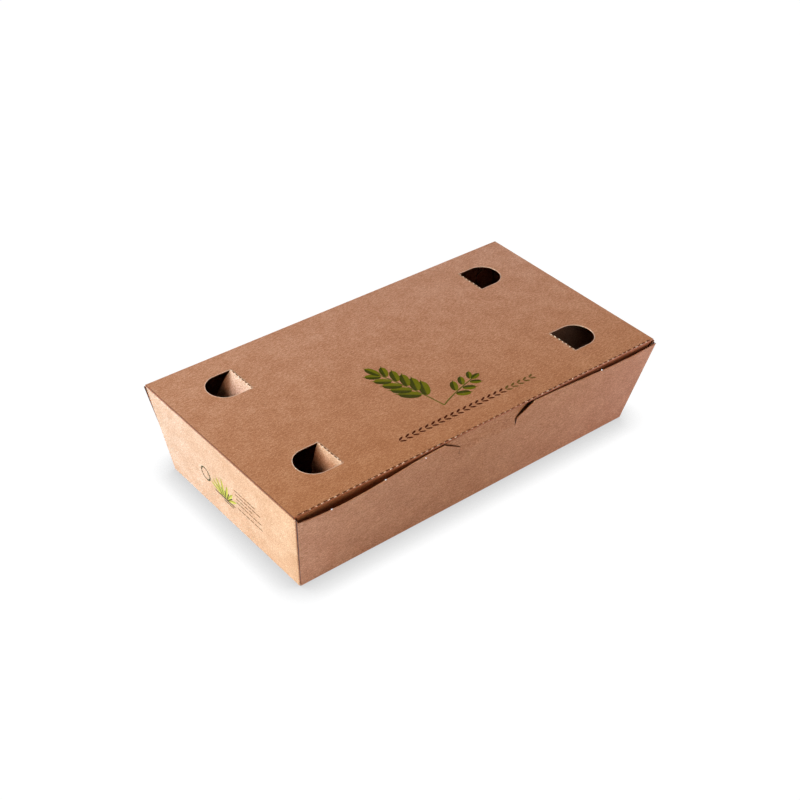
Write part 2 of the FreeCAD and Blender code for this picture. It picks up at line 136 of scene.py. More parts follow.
def pulp(tree):
    # the tone of the pulp, the height of its fibres, and where its dark chips lie
    place = addNode(tree, "ShaderNodeTexCoord")
    inMm = addNode(tree, "ShaderNodeMapping", {"Scale": (1000, 1000, 1000)},
                   {"Vector": place.outputs["Object"]})
    along = addNode(tree, "ShaderNodeMapping", {"Scale": [1000 / size for size in board["fibreMm"]]},
                    {"Vector": place.outputs["Object"]})
    cloud = addNode(tree, "ShaderNodeTexNoise", {"Scale": 1 / board["cloudMm"], "Detail": 3.0},
                    {"Vector": inMm.outputs[0]})
    fibre = addNode(tree, "ShaderNodeTexNoise", {"Scale": 1.0, "Detail": 3.0, "Roughness": 0.6},
                    {"Vector": along.outputs[0]})
    grain = addNode(tree, "ShaderNodeTexNoise", {"Scale": 1 / board["grainMm"], "Detail": 2.0},
                    {"Vector": inMm.outputs[0]})
    threads = addNode(tree, "ShaderNodeMix", {0: board["grainShare"]},
                      {2: fibre.outputs[0], 3: grain.outputs[0]}, data_type="FLOAT")
    tone = addNode(tree, "ShaderNodeMix", {0: board["cloudShare"]},
                   {2: threads.outputs[0], 3: cloud.outputs[0]}, data_type="FLOAT")
    cells = addNode(tree, "ShaderNodeTexVoronoi", {"Scale": 1 / board["speckMm"]},
                    {"Vector": inMm.outputs[0]})
    rim, full = board["speckEdge"]
    chips = addNode(tree, "ShaderNodeMapRange",
                    {"From Min": rim, "From Max": full, "To Max": board["speckCover"]},
                    {"Value": cells.outputs["Distance"]})
    return tone.outputs[0], threads.outputs[0], chips.outputs[0]


def finishShader(tree, colour, height, roughness, gloss):
    # matt, with the fibres' relief
    bump = addNode(tree, "ShaderNodeBump", {"Strength": board["bump"], "Distance": board["bumpMm"] * mm},
                   {"Height": height})
    shader = addNode(tree, "ShaderNodeBsdfPrincipled",
                     {"Roughness": roughness, "IOR": board["ior"], "Specular IOR Level": gloss},
                     {"Base Color": colour, "Normal": bump.outputs[0]})
    addNode(tree, "ShaderNodeOutputMaterial", {}, {"Surface": shader.outputs[0]})


def faceStops():
    return list(zip(board["toneStops"], (linearColour(board[key]) for key in ("dark", "face", "light"))))


def facesLeft(tree, facing):
    return addNode(tree, "ShaderNodeMath", {1: board["facesLeft"]}, {0: facing.outputs["X"]},
                   operation="LESS_THAN").outputs[0]


def toneAndLightTint(tree, change, place, facing):
    # the tone's drift over the sheet, with its painted light and shade, as one colour to multiply by
    tints = []
    for axis, stops in (("X", change["across"]), ("Y", change["along"]), ("X", change["ends"])):
        low, high = stops[0][0], stops[-1][0]
        share = addNode(tree, "ShaderNodeMapRange", {"From Min": low * mm, "From Max": high * mm},
                        {"Value": place.outputs[axis]})
        ramp = addNode(tree, "ShaderNodeValToRGB", {}, {"Fac": share.outputs[0]},
                       stops=[((at - low) / (high - low), (*tint, 1)) for at, tint in stops])
        tints.append(ramp.outputs[0])
    across = addNode(tree, "ShaderNodeMix", {}, {0: facesLeft(tree, facing), 6: tints[0], 7: tints[2]},
                     data_type="RGBA")
    return addNode(tree, "ShaderNodeMix", {0: 1.0}, {6: across.outputs[2], 7: tints[1]},
                   data_type="RGBA", blend_type="MULTIPLY").outputs[2]


def inCornerShade(tree, coords, place, facing):
    # 1 where the corner's shade is painted: where the walls stand out past the left wall, but not on their
    # outer faces
    beyond = addNode(tree, "ShaderNodeVectorMath", {1: wallCorner["outward"]}, {0: coords.outputs["Object"]},
                     operation="DOT_PRODUCT")
    isOut = addNode(tree, "ShaderNodeMath", {1: wallCorner["beyond"] * mm}, {0: beyond.outputs["Value"]},
                    operation="GREATER_THAN")
    looks = addNode(tree, "ShaderNodeMath", {}, {0: place.outputs["Y"], 1: facing.outputs["Y"]},
                    operation="MULTIPLY")    # large on the faces that look outwards, front and back
    inCorner = addNode(tree, "ShaderNodeMath", {1: wallCorner["outside"]}, {0: looks.outputs[0]},
                       operation="LESS_THAN")
    onWall = addNode(tree, "ShaderNodeMath", {}, {0: isOut.outputs[0], 1: inCorner.outputs[0]},
                    operation="MULTIPLY")
    # and 1 on their cut edges
    apart = addNode(tree, "ShaderNodeMath", {}, {0: place.outputs["Y"]}, operation="ABSOLUTE")
    through = addNode(tree, "ShaderNodeMath", {1: wallCorner["slope"]},
                      {0: place.outputs["Z"], 2: apart.outputs[0]}, operation="MULTIPLY_ADD")
    inWall = addNode(tree, "ShaderNodeMath", {1: wallCorner["cutFrom"] * mm}, {0: through.outputs[0]},
                     operation="GREATER_THAN")
    onCut = addNode(tree, "ShaderNodeMath", {}, {0: inWall.outputs[0], 1: facesLeft(tree, facing)},
                    operation="MULTIPLY")
    return addNode(tree, "ShaderNodeMath", {}, {0: onWall.outputs[0], 1: onCut.outputs[0]},
                   operation="MAXIMUM").outputs[0]


def kraftBoard(name, change, paintedShadePart):
    # warm brown, matt and mottled, with painted light and shade in its tint; the third argument says where
    # painted shade darkens it, along the lid's "edge" or in the tray's "corner"
    material = bpy.data.materials.new(name)
    tree = newTree(material)
    tone, threads, chips = pulp(tree)
    face = addNode(tree, "ShaderNodeValToRGB", {}, {"Fac": tone}, stops=faceStops())
    specked = addNode(tree, "ShaderNodeMix", {7: linearColour(board["speck"])},
                      {0: chips, 6: face.outputs[0]}, data_type="RGBA")
    coords = addNode(tree, "ShaderNodeTexCoord")
    place = addNode(tree, "ShaderNodeSeparateXYZ", {}, {"Vector": coords.outputs["Object"]})
    facing = addNode(tree, "ShaderNodeSeparateXYZ", {}, {"Vector": coords.outputs["Normal"]})
    colour = addNode(tree, "ShaderNodeMix", {0: 1.0},
                     {6: specked.outputs[2], 7: toneAndLightTint(tree, change, place, facing)},
                     data_type="RGBA", blend_type="MULTIPLY").outputs[2]
    # painted shade, on the lid's left edge or in the tray's left corners
    if paintedShadePart == "edge":
        where = addNode(tree, "ShaderNodeMapRange",
                        {"From Min": lidEdge["from"] * mm, "From Max": lidEdge["to"] * mm},
                        {"Value": place.outputs["X"]}).outputs[0]
        shade = lidEdge["shade"]
    else:
        where = inCornerShade(tree, coords, place, facing)
        shade = wallCorner["shade"]
    shaded = addNode(tree, "ShaderNodeMix", {7: linearColour(shade)}, {0: where, 6: colour},
                     data_type="RGBA", blend_type="MULTIPLY")
    finishShader(tree, shaded.outputs[2], threads, board["roughness"], board["gloss"])
    return material


def pulpEdge(name, colour):
    # torn or cut pulp: lighter than the face, which is darkened by pressing
    material = bpy.data.materials.new(name)
    tree = newTree(material)
    tone, threads, _ = pulp(tree)
    face = addNode(tree, "ShaderNodeValToRGB", {}, {"Fac": tone},
                   stops=zip(board["cutStops"], (linearColour(board["light"]), linearColour(colour))))
    finishShader(tree, face.outputs[0], threads, board["edgeRoughness"], board["gloss"])
    return material


# Inks: flexographic, thin and soaked into the pulp, so the board's mottle shows through
# and they stay matt
inks = {
    "leafDark": "#363f03",
    "leafLight": "#706e08",
    "stalk": "#66601f",
    "brown": "#441405",
    "olive": "#5f4f1c",
    "wallBrown": "#4c3620",
    "wallDark": "#252a14",
    "grass": "#7d7a20",
    "grassLight": "#a99c3c",
    "roughness": 0.9,
    "gloss": 0.03,
    "thin": 0.06,    # how much less ink the lightest pulp holds
    "pulp": (0.4, 0.62),    # tones of the pulp between which that change lies
    "halves": (0.44, 0.56),    # where, across a printed shape, the dark ink gives way to the light one
}


def inkOnBoard(name, dark, light, cover):
    # UV's U runs across a printed shape, so one half takes the darker ink
    material = bpy.data.materials.new(name)
    tree = newTree(material)
    tone, threads, _ = pulp(tree)
    face = addNode(tree, "ShaderNodeValToRGB", {}, {"Fac": tone}, stops=faceStops())
    spread = addNode(tree, "ShaderNodeUVMap")
    across = addNode(tree, "ShaderNodeSeparateXYZ", {}, {"Vector": spread.outputs[0]})
    darkTo, lightFrom = inks["halves"]
    half = addNode(tree, "ShaderNodeMapRange", {"From Min": darkTo, "From Max": lightFrom},
                   {"Value": across.outputs[0]})
    ink = addNode(tree, "ShaderNodeMix", {6: linearColour(dark), 7: linearColour(light)},
                  {0: half.outputs[0]}, data_type="RGBA")
    darkPulp, lightPulp = inks["pulp"]
    soaked = addNode(tree, "ShaderNodeMapRange", {"From Min": darkPulp, "From Max": lightPulp,
                                                  "To Min": cover, "To Max": cover - inks["thin"]},
                     {"Value": tone})
    printed = addNode(tree, "ShaderNodeMix", {},
                      {0: soaked.outputs[0], 6: face.outputs[0], 7: ink.outputs[2]}, data_type="RGBA")
    finishShader(tree, printed.outputs[2], threads, inks["roughness"], inks["gloss"])
    return material


lidBoard = kraftBoard("lidBoard", toneAndPaintedLight["lid"], "edge")    # yellower and darker towards the front, with painted sheen towards the back and right, and painted shade in the front crease strip and on the left edge
trayBoard = kraftBoard("trayBoard", toneAndPaintedLight["tray"], "corner")    # paler at the corners and darker in the middle, partly painted highlight and shade; painted shade inside the right end wall and at the left corners
flapBoard = kraftBoard("flapBoard", toneAndPaintedLight["flap"], "edge")    # a little paler than the lid, a painted highlight
cutPulp = pulpEdge("cutPulp", board["cut"])    # pale line round what the die cut
tornPulp = pulpEdge("tornPulp", board["torn"])    # paler crumbs of fibre
nickPulp = pulpEdge("nickPulp", board["nick"])    # the palest: freshly broken
paintedCutShadow = inkOnBoard("paintedCutShadow", board["slot"], board["slot"], 0.98)    # painted shadow: a dark dash laid over a perforation's cut
greenInk = inkOnBoard("leafGreenInk", inks["leafDark"], inks["leafLight"], 0.98)    # two-tone leaves
stalkInk = inkOnBoard("stalkInk", inks["stalk"], inks["stalk"], 0.95)    # dull green line
brownInk = inkOnBoard("brownInk", inks["brown"], inks["brown"], 0.98)    # the garland's dark end
oliveInk = inkOnBoard("oliveInk", inks["olive"], inks["olive"], 0.9)    # and its olive end
wallBrownInk = inkOnBoard("wallBrownInk", inks["wallBrown"], inks["wallBrown"], 0.85)    # soft brown rules
wallDarkInk = inkOnBoard("wallDarkInk", inks["wallDark"], inks["wallDark"], 0.95)    # near black marks
grassInk = inkOnBoard("grassInk", inks["grass"], inks["grassLight"], 0.9)    # bright green blades
for name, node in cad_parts.items():
    node.data.materials.clear()
    node.data.materials.append({"lid": lidBoard, "tray": trayBoard}.get(name, flapBoard))
print("materials done")


# Small tools shared by the pieces
def deselectAll():
    bpy.ops.object.select_all(action="DESELECT")


def pick(piece, wanted):
    # leaves edit mode on, with the vertices selected that lie where wanted says
    bpy.ops.object.mode_set(mode="EDIT")
    bpy.ops.mesh.select_mode(type="VERT")
    bpy.ops.mesh.select_all(action="DESELECT")
    bpy.ops.object.mode_set(mode="OBJECT")
    for vertex in piece.data.vertices:
        vertex.select = wanted(vertex.co)
    bpy.ops.object.mode_set(mode="EDIT")


def finishPiece(piece, name, material):
    # applies modifiers and placing, so the piece sits at the origin with its place in its mesh
    deselectAll()
    piece.select_set(True)
    bpy.context.view_layer.objects.active = piece
    for modifier in piece.modifiers[:]:
        bpy.ops.object.modifier_apply(modifier=modifier.name)
    bpy.ops.object.transform_apply(location=True, rotation=True, scale=True)
    piece.name = name
    piece.data.name = name
    piece.data.materials.clear()
    piece.data.materials.append(material)


def scatter(master, places):
    # one copy of master, with its own mesh, at each place; the copies become one object
    copies = []
    for place in places:
        copy = master.copy()
        copy.data = master.data.copy()
        bpy.context.collection.objects.link(copy)
        copy.matrix_world = place
        copies.append(copy)
    deselectAll()
    for copy in copies:
        copy.select_set(True)
    bpy.context.view_layer.objects.active = copies[0]
    bpy.ops.object.join()
    bpy.ops.object.transform_apply(location=True, rotation=True, scale=True)
    bpy.data.objects.remove(master)
    return copies[0]


def dashShape():
    # flat bar with round ends, 1 mm long and 1 mm wide
    deselectAll()
    bpy.ops.mesh.primitive_plane_add(size=1 * mm)
    dash = bpy.context.object
    bpy.ops.object.mode_set(mode="EDIT")
    bpy.ops.mesh.select_all(action="SELECT")
    bpy.ops.mesh.bevel(offset=0.12 * mm, segments=3, affect="VERTICES")
    bpy.ops.object.mode_set(mode="OBJECT")
    return dash


def foldStrip(width, depth, at, turn, path, thick):
    # a strip of board that rounds a fold: a flat band, drawn out along path from its far edge
    deselectAll()
    bpy.ops.mesh.primitive_plane_add(size=1, location=at, rotation=turn)
    strip = bpy.context.object
    strip.scale = (width, depth, 1)
    pick(strip, lambda co: co.y > 0)
    for step in path:
        bpy.ops.mesh.extrude_region_move(TRANSFORM_OT_translate={"value": step})
    bpy.ops.object.mode_set(mode="OBJECT")
    bpy.ops.object.transform_apply(location=True, rotation=True, scale=True)
    solid = strip.modifiers.new("ply", "SOLIDIFY")
    solid.thickness = thick
    solid.offset = 0
    return strip


def steps(points):
    return [[b - a for a, b in zip(first, last)] for first, last in zip(points, points[1:])]


# The back fold: board rounds from the back wall into the lid
backFold = {"length": 260.4, "radius": 0.31, "down": 0.9, "along": 0.8, "ply": 0.05, "segments": 5,
            "hingeY": 69.2, "hingeZ": 57.7, "wallTop": -0.5, "wallLean": 80.9, "blendTo": 0.3}


def makeBackFold():
    s = backFold
    arc = [math.radians(90 * i / s["segments"]) for i in range(s["segments"] + 1)]
    line = [(0, (s["hingeY"] + s["radius"] * math.cos(a)) * mm,
             (s["hingeZ"] + s["radius"] * math.sin(a)) * mm) for a in arc]
    wallTop = (0, (s["hingeY"] + s["radius"]) * mm, (s["hingeZ"] + s["wallTop"]) * mm)
    onLid = (0, (s["hingeY"] - s["along"]) * mm, line[-1][2])
    lean = math.radians(s["wallLean"])
    half = s["down"] / 2 * mm
    middle = (0, wallTop[1] - half * math.cos(lean), wallTop[2] - half * math.sin(lean))
    strip = foldStrip(s["length"] * mm, s["down"] * mm, middle, (lean, 0, 0),
                      steps([wallTop] + line + [onLid]), s["ply"] * mm)
    finishPiece(strip, "backFold", lidBoard)
    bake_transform(strip)


makeBackFold()
print("back fold done")


# Vent folds: perforated creases that carry the four flaps
vents = {
    "left_back": {"side": -1, "row": 42.8, "bend": 52},
    "left_front": {"side": -1, "row": -38.0, "bend": 74},
    "right_back": {"side": 1, "row": 42.8, "bend": 68},
    "right_front": {"side": 1, "row": -38.0, "bend": 72},
}
lidTop = 58.0
ventFold = {"fold": 85.2, "height": 57.7, "width": 21.0, "radius": 0.31, "lidEdge": 0.6, "onLid": 0.6,
            "onFlap": 1.2, "ply": 0.05, "segments": 5, "blendTo": (0.5, 0.1)}
ventRim = {"reach": 21.8, "halfWidth": 10.9, "rim": 0.4, "inside": 0.25, "proud": 0.04, "depth": 0.15,
           "segments": 48}


def makeVentFold(name, vent):
    s, side, row = ventFold, vent["side"], vent["row"] * mm
    bend = math.radians(vent["bend"])
    arc = [bend * i / s["segments"] for i in range(s["segments"] + 1)]
    line = [(side * (s["fold"] + s["radius"] * math.sin(a)) * mm, row,
             (s["height"] + s["radius"] * math.cos(a)) * mm) for a in arc]
    edge = (side * (s["fold"] - s["lidEdge"]) * mm, row, line[0][2])
    tip = (line[-1][0] + side * s["onFlap"] * mm * math.cos(bend), row,
           line[-1][2] - s["onFlap"] * mm * math.sin(bend))
    start = (edge[0] - side * s["onLid"] / 2 * mm, row, edge[2])
    strip = foldStrip(s["width"] * mm, s["onLid"] * mm, start, (0, 0, -side * math.pi / 2),
                      steps([edge] + line + [tip]), s["ply"] * mm)
    finishPiece(strip, "ventFold_" + name, flapBoard)
    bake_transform(strip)


def makeVentRim(name, vent):
    # the die-cut edge: pale pulp, pressed up a little above the face
    s, side, row = ventRim, vent["side"], vent["row"] * mm
    centre = side * (ventFold["fold"] + s["reach"] - s["halfWidth"]) * mm
    deselectAll()
    bpy.ops.mesh.primitive_circle_add(vertices=s["segments"], radius=s["halfWidth"] * mm,
                                      location=(centre, row, (lidTop - s["depth"]) * mm),
                                      fill_type="NOTHING")
    rim = bpy.context.object
    pick(rim, lambda co: co.x * side < -0.1 * mm)    # the half towards the fold goes
    bpy.ops.mesh.delete(type="VERT")
    bpy.ops.object.mode_set(mode="OBJECT")
    pick(rim, lambda co: abs(co.x) < 0.1 * mm)
    run = (side * (ventFold["fold"] - ventFold["lidEdge"]) * mm) - centre
    bpy.ops.mesh.extrude_region_move(TRANSFORM_OT_translate={"value": (run, 0, 0)})
    bpy.ops.mesh.select_all(action="SELECT")
    rise = (s["depth"] + s["proud"]) * mm
    bpy.ops.mesh.extrude_region_move(TRANSFORM_OT_translate={"value": (0, 0, rise)})
    bpy.ops.mesh.normals_make_consistent(inside=False)
    bpy.ops.object.mode_set(mode="OBJECT")
    solid = rim.modifiers.new("ply", "SOLIDIFY")
    solid.thickness = s["rim"] * mm
    solid.offset = 2 * s["inside"] / s["rim"] - 1
    finishPiece(rim, "ventRim_" + name, cutPulp)
    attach(rim, "lid")


for name, vent in vents.items():
    makeVentFold(name, vent)
    makeVentRim(name, vent)
print("vent folds and rims done")


# Torn pulp: where a perforated fold is bent, the bridges between its cuts burst into pale fibre.
# Places in mm, turns in radians
torn = {"seed": 7, "roughMm": 0.1, "creaseY": -67.5, "creaseZ": 57.97, "first": -126.3, "pitch": 4.0095,
        "bridges": 63, "closedHalf": 24, "closedSize": (1.3, 0.4, 0.14), "whole": 0.15, "creaseTilt": -0.5,
        "turn": 0.4, "ventPitch": 3.0, "ventCount": 7, "ventZ": 57.98, "rimNick": (-106.95, -38.0, 58.05)}


def tornTuft():
    # a low, ragged lump, 1 mm long and wide before it is sized
    deselectAll()
    bpy.ops.mesh.primitive_uv_sphere_add(segments=7, ring_count=4, radius=0.5 * mm)
    tuft = bpy.context.object
    bpy.ops.object.mode_set(mode="EDIT")
    bpy.ops.mesh.select_all(action="SELECT")
    bpy.ops.transform.vertex_random(offset=torn["roughMm"] * mm, seed=torn["seed"])
    bpy.ops.object.mode_set(mode="OBJECT")
    return tuft


def tuftPlace(x, y, z, size, turn=(0, 0, 0)):
    aboutX, aboutY, aboutZ = turn
    tilt = (Matrix.Rotation(aboutZ, 4, "Z") @ Matrix.Rotation(aboutY, 4, "Y")
            @ Matrix.Rotation(aboutX, 4, "X"))
    return Matrix.Translation((x * mm, y * mm, z * mm)) @ tilt @ Matrix.Diagonal((*size, 1))


def makeCreaseTufts():
    chance = random.Random(torn["seed"])
    places = []
    for i in range(torn["bridges"]):
        x = torn["first"] + torn["pitch"] * (i + 0.5)
        if abs(x) < torn["closedHalf"]:    # the locked tongue holds the fold, so bridges only stretch
            places.append(tuftPlace(x, torn["creaseY"] + 0.05, torn["creaseZ"], torn["closedSize"]))
            continue
        for part in (-0.4, 0.4):    # a torn bridge leaves a crumb at each end
            if chance.random() < torn["whole"]:
                continue
            size = (chance.uniform(0.6, 1.3), chance.uniform(0.4, 0.75), chance.uniform(0.3, 0.55))
            at = (x + part + chance.uniform(-0.2, 0.2), torn["creaseY"] + chance.uniform(-0.15, 0.1))
            turn = (torn["creaseTilt"], 0, chance.uniform(-torn["turn"], torn["turn"]))
            places.append(tuftPlace(*at, torn["creaseZ"], size, turn))
    tufts = scatter(tornTuft(), places)
    finishPiece(tufts, "creaseTornPulp", tornPulp)
    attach(tufts, "lid")


def makeVentTufts():
    chance = random.Random(torn["seed"] + 1)
    places = []
    for vent in vents.values():
        for i in range(torn["ventCount"]):
            y = vent["row"] + torn["ventPitch"] * (i - (torn["ventCount"] - 1) / 2)
            y += chance.uniform(-0.3, 0.3)
            size = (chance.uniform(0.6, 1.0), chance.uniform(0.8, 1.7), chance.uniform(0.3, 0.6))
            x = vent["side"] * (ventFold["fold"] - chance.uniform(0.0, 0.5))
            turn = (0, 0, chance.uniform(-torn["turn"], torn["turn"]))
            places.append(tuftPlace(x, y, torn["ventZ"], size, turn))
    places.append(tuftPlace(*torn["rimNick"], (0.5, 0.9, 0.3)))    # on the left front vent's rim
    tufts = scatter(tornTuft(), places)
    finishPiece(tufts, "ventTornPulp", tornPulp)
    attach(tufts, "lid")


# Die nicks on the front wall's edge, where the blank was snapped from its sheet: place and length
nicks = {"at": [(-109.9, -72.15, 55.85, 1.1), (-74.7, -71.35, 56.6, 1.1), (-47.2, -70.7, 57.0, 0.6),
                (84.3, -70.55, 56.85, 0.9)],
         "deep": 0.7, "high": 0.9}


def makeEdgeNicks():
    places = [tuftPlace(x, y, z, (length, nicks["deep"], nicks["high"])) for x, y, z, length in nicks["at"]]
    crumbs = scatter(tornTuft(), places)
    finishPiece(crumbs, "frontWallNicks", nickPulp)
    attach(crumbs, "tray")


# Painted shadow in the perforations: dark dashes laid over the cuts between the bridges, length and width;
# the tilt is in degrees
cuts = {"crease": (2.5, 0.75), "closed": (2.2, 0.35), "creaseY": -67.4, "creaseZ": 58.0, "creaseTilt": 14.0,
        "vent": (1.7, 0.45), "ventIn": 0.25, "ventZ": 58.04}


def makeCutShadows():
    c = cuts
    places = []
    for i in range(torn["bridges"] + 1):
        x = torn["first"] + torn["pitch"] * i
        size = c["closed"] if abs(x) < torn["closedHalf"] else c["crease"]
        places.append(tuftPlace(x, c["creaseY"], c["creaseZ"], (*size, 1),
                                (math.radians(c["creaseTilt"]), 0, 0)))
    for vent in vents.values():
        for i in range(torn["ventCount"] - 1):
            y = vent["row"] + torn["ventPitch"] * (i + 0.5 - (torn["ventCount"] - 1) / 2)
            places.append(tuftPlace(vent["side"] * (ventFold["fold"] - c["ventIn"]), y, c["ventZ"],
                                    (*c["vent"], 1), (0, 0, math.pi / 2)))
    dashes = scatter(dashShape(), places)
    finishPiece(dashes, "foldCutShadows", paintedCutShadow)
    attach(dashes, "lid")


makeCreaseTufts()
makeVentTufts()
makeEdgeNicks()
makeCutShadows()
print("torn pulp and cuts done")


# Print on the lid: two ears of plain leaves on a forked stalk; sizes in mm and degrees
lidPrint = {
    "centre": (-5.8, -19.9), "across": (0.80, -0.60), "above": (0.60, 0.80), "height": 58.025,
    "ears": [
        {"path": [(10, -21), (-4, -8), (-24, 6)], "from": 0.34, "pairs": 5, "size": (13.5, 6.6),
         "spread": 38},
        {"path": [(10, -21), (16, -10), (27, 3)], "from": 0.5, "pairs": 3, "size": (9.0, 4.6),
         "spread": 42},
    ],
    "to": 0.95, "shrink": 0.35, "beside": 0.9, "ahead": 1.2,
    "tip": (0.75, 0.8),    # the last leaf's width and length as shares of the first's
    "lift": 0.004, "layer": 0.0015,    # overlapping leaves lie in layers
    "stalk": 0.42, "stalkFlat": 0.02,
}


def onCurve(points, t):
    a, b, c = (Vector(p) for p in points)
    place = (1 - t) ** 2 * a + 2 * t * (1 - t) * b + t * t * c
    return place, (2 * (1 - t) * (b - a) + 2 * t * (c - b)).normalized()


def leafShape():
    # flat almond, 1 mm long along Y, 1 mm wide, with its foot at the origin
    deselectAll()
    bpy.ops.mesh.primitive_circle_add(vertices=16, radius=0.5 * mm, fill_type="TRIFAN", calc_uvs=True)
    leaf = bpy.context.object
    pick(leaf, lambda co: co.y > 0.4 * mm)
    bpy.ops.transform.resize(value=(0.35, 1, 1))
    bpy.ops.object.mode_set(mode="OBJECT")
    pick(leaf, lambda co: co.y > 0.49 * mm)
    bpy.ops.transform.translate(value=(0, 0.12 * mm, 0))
    bpy.ops.mesh.select_all(action="SELECT")
    bpy.ops.transform.translate(value=(0, 0.5 * mm, 0))
    bpy.ops.object.mode_set(mode="OBJECT")
    return leaf


def flatPlace(place, angle, size, height, axes):
    # axes: the print's origin and its across, above and outward directions
    origin, across, above, out = axes
    basis = Matrix((across, above, out)).transposed().to_4x4()
    spot = Vector(origin) + Vector(across) * place[0] * mm + Vector(above) * place[1] * mm
    spot += Vector(out) * height * mm
    return (Matrix.Translation(spot) @ basis @ Matrix.Rotation(angle, 4, "Z")
            @ Matrix.Diagonal((size[0], size[1], 1, 1)))


def lidAxes():
    p = lidPrint
    return ((p["centre"][0] * mm, p["centre"][1] * mm, p["height"] * mm), (*p["across"], 0), (*p["above"], 0),
            (0, 0, 1))


def makeEars():
    p = lidPrint
    places, lift = [], p["lift"]
    for ear in p["ears"]:
        length, width = ear["size"]
        for i in range(ear["pairs"]):
            t = ear["from"] + (p["to"] - ear["from"]) * i / (ear["pairs"] - 1)
            spot, way = onCurve(ear["path"], t)
            heading = math.atan2(way.y, way.x) - math.pi / 2
            grow = 1.0 - p["shrink"] * i / ear["pairs"]
            for hand in (-1, 1):
                foot = spot + Vector((-way.y, way.x)) * hand * p["beside"] + way * hand * p["ahead"]
                places.append(flatPlace(foot, heading + math.radians(hand * ear["spread"]),
                                        (width * grow, length * grow), lift, lidAxes()))
                lift += p["layer"]
        spot, way = onCurve(ear["path"], 1.0)
        places.append(flatPlace(spot, math.atan2(way.y, way.x) - math.pi / 2,
                                (width * p["tip"][0], length * p["tip"][1]), lift, lidAxes()))
    ears = scatter(leafShape(), places)
    finishPiece(ears, "lidPrintEars", greenInk)
    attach(ears, "lid")


def makeStalks():
    stalks = []
    origin, across, above, out = lidAxes()
    for ear in lidPrint["ears"]:
        deselectAll()
        bpy.ops.curve.primitive_bezier_curve_add(location=(0, 0, 0))
        stalk = bpy.context.object
        line = stalk.data.splines[0].bezier_points
        a, b, c = ear["path"]    # the same curve as the leaves follow, as a cubic
        corners = [a, tuple(p + (q - p) * 2 / 3 for p, q in zip(a, b)),
                   tuple(r + (q - r) * 2 / 3 for q, r in zip(b, c)), c]
        world = [Vector(origin) + Vector(across) * u * mm + Vector(above) * v * mm for u, v in corners]
        line[0].co, line[0].handle_left, line[0].handle_right = world[0], world[0] * 2 - world[1], world[1]
        line[1].co, line[1].handle_left, line[1].handle_right = world[3], world[2], world[3] * 2 - world[2]
        stalk.data.bevel_depth = lidPrint["stalk"] * mm
        stalk.data.bevel_resolution = 1
        stalk.data.resolution_u = 16
        bpy.ops.object.convert(target="MESH")
        stalks.append(bpy.context.object)
    deselectAll()
    for stalk in stalks:
        stalk.select_set(True)
    bpy.context.view_layer.objects.active = stalks[0]
    bpy.ops.object.join()
    piece = bpy.context.object
    bpy.ops.object.transform_apply(location=True, rotation=True, scale=True)
    pick(piece, lambda co: True)
    bpy.ops.transform.resize(value=(1, 1, lidPrint["stalkFlat"]),
                             center_override=(0, 0, lidPrint["height"] * mm))
    bpy.ops.object.mode_set(mode="OBJECT")
    finishPiece(piece, "lidPrintStalks", stalkInk)
    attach(piece, "lid")


# A garland of small leaves along the lid's front edge, brown and then olive
garland = {"start": -50.0, "end": 49.0, "row": -52.3, "step": 4.5, "leaf": (1.25, 3.9), "tilt": 24.0,
           "apart": 0.35, "oliveFrom": 22.0}


def makeGarland():
    g = garland
    axes = ((0, g["row"] * mm, lidPrint["height"] * mm), (1, 0, 0), (0, 1, 0), (0, 0, 1))
    brown, olive = [], []
    for i in range(int((g["end"] - g["start"]) / g["step"])):
        x = g["start"] + g["step"] * i
        for hand in (-1, 1):
            place = flatPlace((x, hand * g["apart"]), math.radians(-90 + hand * g["tilt"]), g["leaf"], 0,
                              axes)
            (olive if x > g["oliveFrom"] else brown).append(place)
    for name, ink, places in (("lidGarlandBrown", brownInk, brown), ("lidGarlandOlive", oliveInk, olive)):
        leaves = scatter(leafShape(), places)
        finishPiece(leaves, name, ink)
        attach(leaves, "lid")


# The left end wall, which leans out; its print lies on its face
leftWall = {"lean": math.atan(9.5 / 57.2), "foot": 121.0, "off": 0.025}


def wallAxes(y, z):
    # across is towards -Y, above is up the slope
    lean = leftWall["lean"]
    x = -(leftWall["foot"] + z * math.tan(lean)) - leftWall["off"]
    return ((x * mm, y * mm, z * mm), (0, -1, 0), (-math.sin(lean), 0, math.cos(lean)),
            (-math.cos(lean), 0, -math.sin(lean)))


# Dashed rules: each line's start, length and height
wallRules = {"lines": [(-9.5, 20.0, 34.4), (-9.5, 24.0, 31.2), (-9.5, 16.0, 28.0), (-9.0, 24.0, 24.8),
                       (-9.0, 24.0, 20.2)],
             "step": 3.9, "dash": (3.3, 0.95)}


def makeRules():
    places = []
    for start, length, level in wallRules["lines"]:
        for i in range(int(length / wallRules["step"])):
            places.append(flatPlace((wallRules["step"] * (i + 0.5), 0), 0, wallRules["dash"], 0,
                                    wallAxes(start, level)))
    rules = scatter(dashShape(), places)
    finishPiece(rules, "wallRules", wallBrownInk)
    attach(rules, "tray")


# A tuft of grass blades that fan out from one foot
wallTuft = {"at": (3.0, 19.2), "fan": (-62, -38, -18, 0, 18, 38, 62), "length": 15.0, "width": 2.0,
            "shorter": 0.4, "apart": 4.0, "layer": 0.002}


def makeTuft():
    t = wallTuft
    places = []
    for i, angle in enumerate(t["fan"]):
        aside = math.sin(math.radians(angle))
        length = t["length"] * (1 - t["shorter"] * abs(aside))
        places.append(flatPlace((t["apart"] * aside, 0), math.radians(-angle), (t["width"], length),
                                t["layer"] * (i + 1), wallAxes(*t["at"])))
    blades = scatter(leafShape(), places)
    finishPiece(blades, "wallTuft", grassInk)
    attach(blades, "tray")


